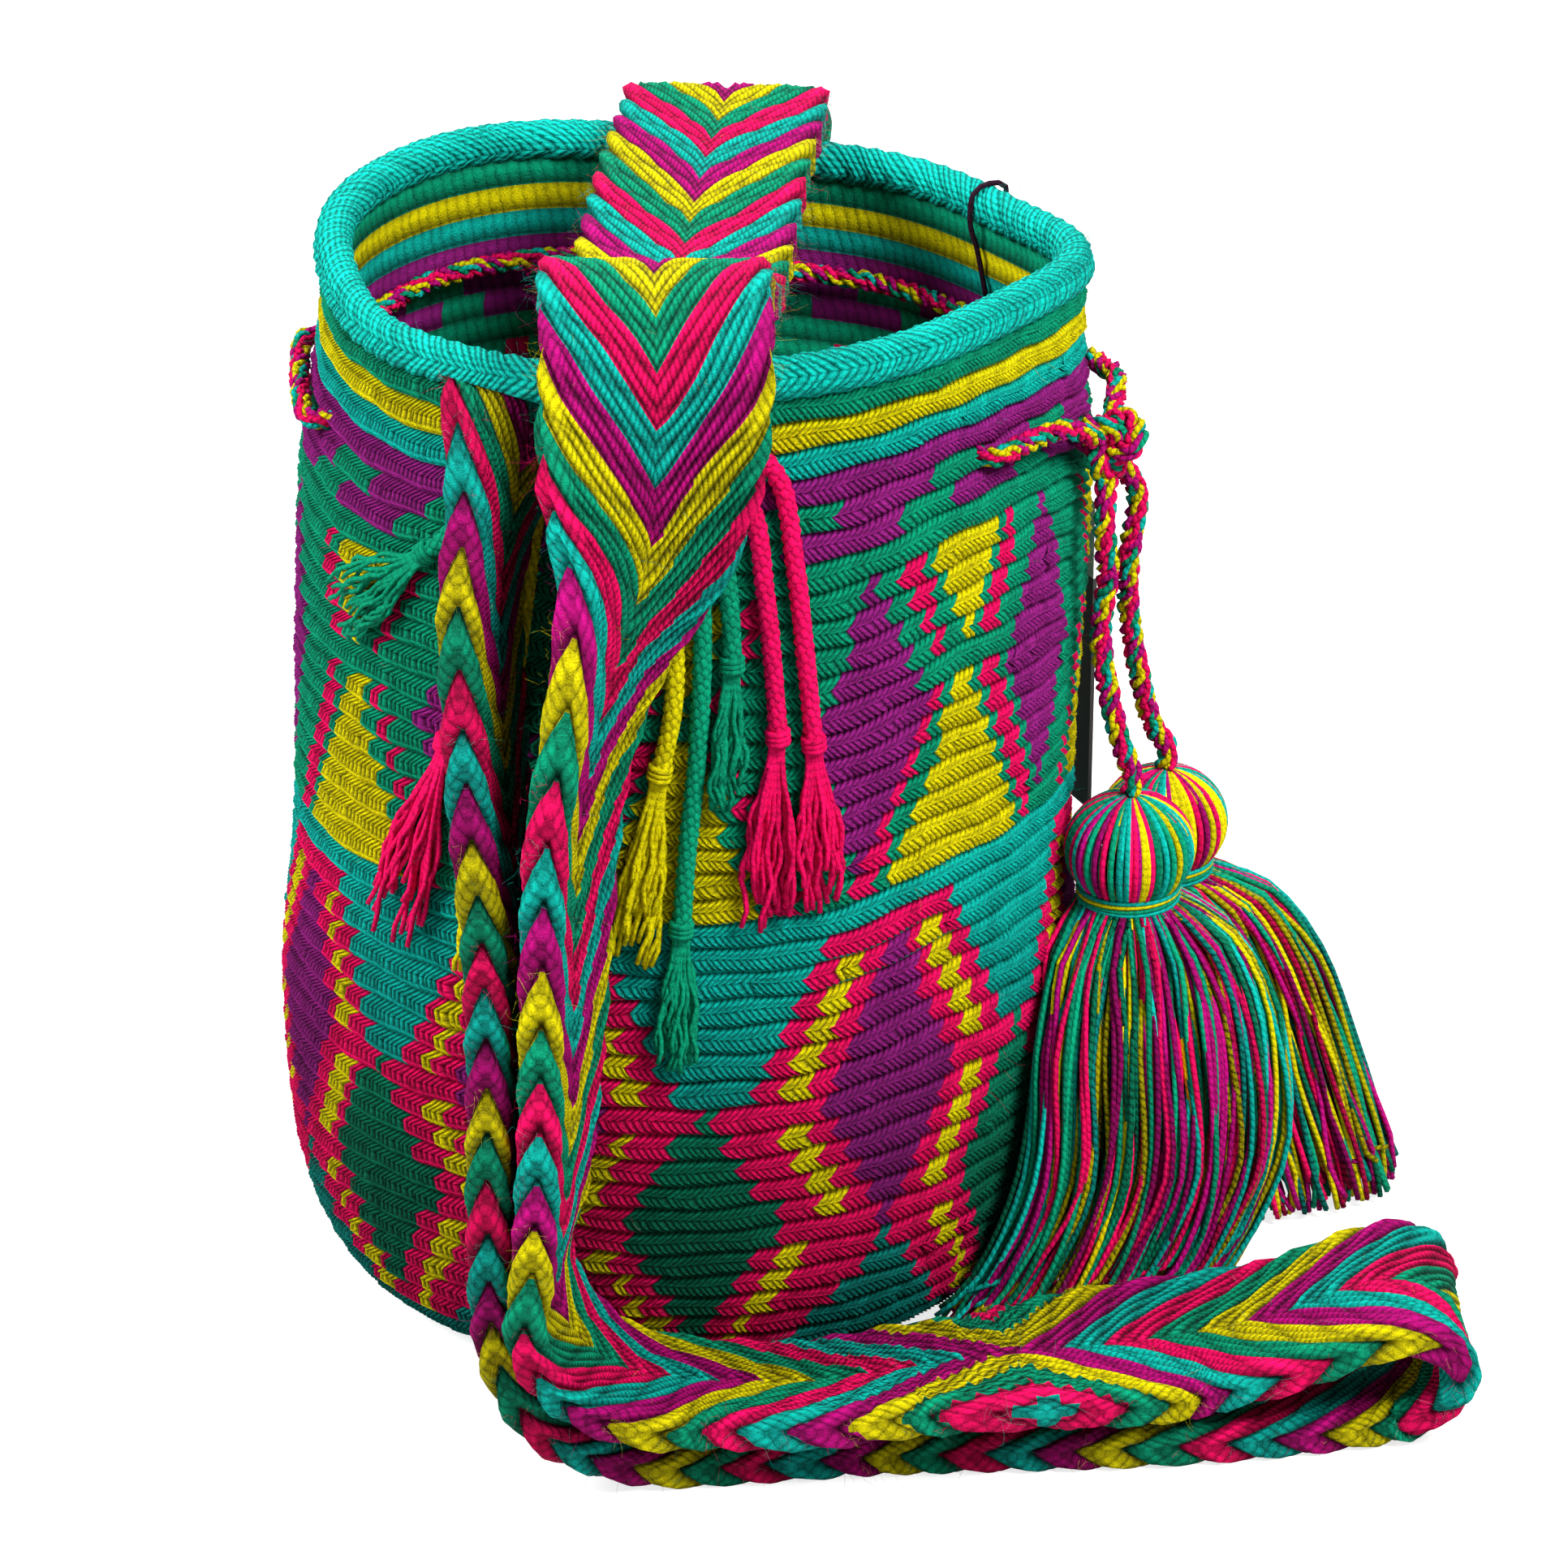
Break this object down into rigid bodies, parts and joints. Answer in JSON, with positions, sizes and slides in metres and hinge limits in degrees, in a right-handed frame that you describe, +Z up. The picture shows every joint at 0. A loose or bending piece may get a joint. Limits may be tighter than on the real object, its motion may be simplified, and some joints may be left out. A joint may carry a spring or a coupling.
{
  "type": "wayuu mochila bag",
  "caption": "Round crocheted shoulder bag in bright yarn with diamond and triangle patterns, a wide woven strap, a drawstring with yarn tassels, and a plain swing tag.",
  "frame": {"origin": "centre of the flat base of the bag, on the ground", "axes": "+Z up, the front of the bag with the hanging strap faces -Y, the drawstring knot and tassels are towards +X"},
  "size_m": [0.3287, 0.292, 0.3311],
  "materials": {
    "bag_crochet": "matte yarn",
    "strap_weave": "matte yarn",
    "drawstring_yarn": "matte yarn",
    "knot_yarn": "matte yarn",
    "tassel_front_yarn": "matte yarn",
    "tassel_back_yarn": "matte yarn",
    "tie_front_yarn": "matte yarn",
    "tie_back_yarn": "matte yarn",
    "tag_card": "smooth card",
    "tag_thread_yarn": "matte yarn",
    "fringe_pink": "matte yarn",
    "fringe_green": "matte yarn",
    "fringe_yellow": "matte yarn"
  },
  "bodies": {
    "root": {"bag_body": "bag_crochet", "shoulder_strap": "strap_weave", "drawstring": "drawstring_yarn", "drawstring_knot": "knot_yarn", "tassel_cord_front": "drawstring_yarn", "tassel_cord_back": "drawstring_yarn", "tassel_front": "tassel_front_yarn", "tassel_back": "tassel_back_yarn", "tassel_tie_front": "tie_front_yarn", "tassel_tie_back": "tie_back_yarn", "hang_tag": "tag_card", "tag_thread": "tag_thread_yarn", "fringe_cord_pink_inner": "fringe_pink", "fringe_tassel_pink_inner": "fringe_pink", "fringe_cord_pink_outer": "fringe_pink", "fringe_tassel_pink_outer": "fringe_pink", "fringe_cord_green_short": "fringe_green", "fringe_tassel_green_short": "fringe_green", "fringe_cord_green_long": "fringe_green", "fringe_tassel_green_long": "fringe_green", "fringe_cord_yellow": "fringe_yellow", "fringe_tassel_yellow": "fringe_yellow", "fringe_cord_pink_left": "fringe_pink", "fringe_tassel_pink_left": "fringe_pink", "fringe_cord_green_left": "fringe_green", "fringe_tassel_green_left": "fringe_green", "fringe_cord_yellow_left": "fringe_yellow", "fringe_tassel_yellow_left": "fringe_yellow", "fringe_cord_pink_back": "fringe_pink", "fringe_tassel_pink_back": "fringe_pink", "fringe_cord_green_back": "fringe_green", "fringe_tassel_green_back": "fringe_green", "fringe_cord_yellow_back": "fringe_yellow", "fringe_tassel_yellow_back": "fringe_yellow"}
  },
  "joints": []
}
